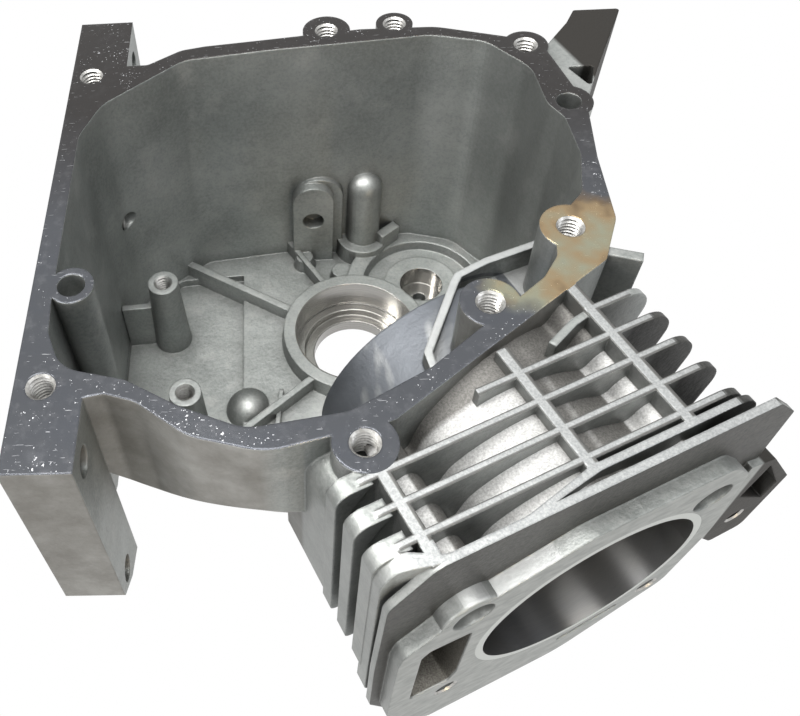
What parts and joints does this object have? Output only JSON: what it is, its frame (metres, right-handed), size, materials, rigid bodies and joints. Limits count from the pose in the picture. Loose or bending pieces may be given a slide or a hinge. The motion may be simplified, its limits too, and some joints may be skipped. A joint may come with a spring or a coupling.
{
  "type": "single-cylinder engine block with crankcase",
  "caption": "Cast crankcase and finned cylinder barrel in one piece for a small inclined single-cylinder engine, with iron liner, bearing seats and mounting feet.",
  "frame": {"origin": "centre of the crank bearing seat at its mouth, inside the case", "axes": "+Z along the crank axis towards the gasket face, +X away from the mounting base, cylinder inclined 24.5 degrees from -Y towards +X"},
  "size_m": [0.2163, 0.2149, 0.1204],
  "materials": {
    "cast_aluminium": "satin as cast, machined faces brighter",
    "liner_iron": "honed"
  },
  "bodies": {
    "root": {"engine_block": "cast_aluminium", "cylinder_liner": "liner_iron"}
  },
  "joints": []
}
